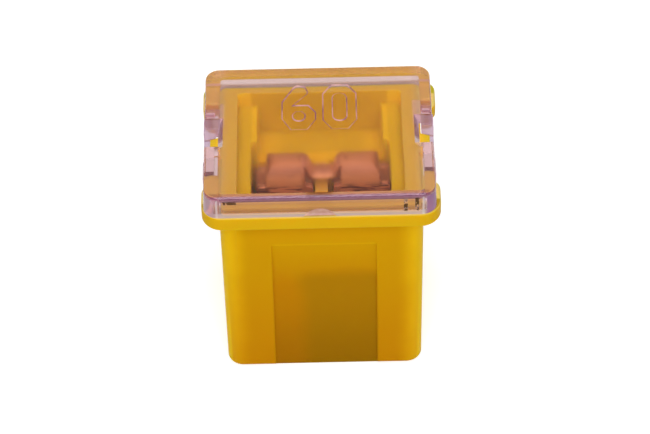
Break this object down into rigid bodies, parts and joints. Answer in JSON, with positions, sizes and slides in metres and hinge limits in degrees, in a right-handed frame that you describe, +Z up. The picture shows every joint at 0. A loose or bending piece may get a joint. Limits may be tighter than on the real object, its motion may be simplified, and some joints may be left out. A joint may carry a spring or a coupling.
{
  "type": "box cartridge fuse",
  "caption": "Low-profile female-terminal box cartridge fuse for a vehicle: yellow moulded housing, clear lid with snap legs and a plain rating number, one-piece copper-alloy element.",
  "frame": {"origin": "middle of the housing's underside, where the blades enter", "axes": "+Z up out of the fuse block, +X along the longer side through both terminals, -Y towards the side with the gate mark"},
  "size_m": [0.015, 0.0123, 0.0162],
  "materials": {
    "housing": "satin moulded, slightly translucent",
    "cover": "clear, faint lilac tint",
    "element": "plain stamped copper alloy"
  },
  "bodies": {
    "root": {"housing": "housing", "cover": "cover", "fuse_element": "element"}
  },
  "joints": []
}
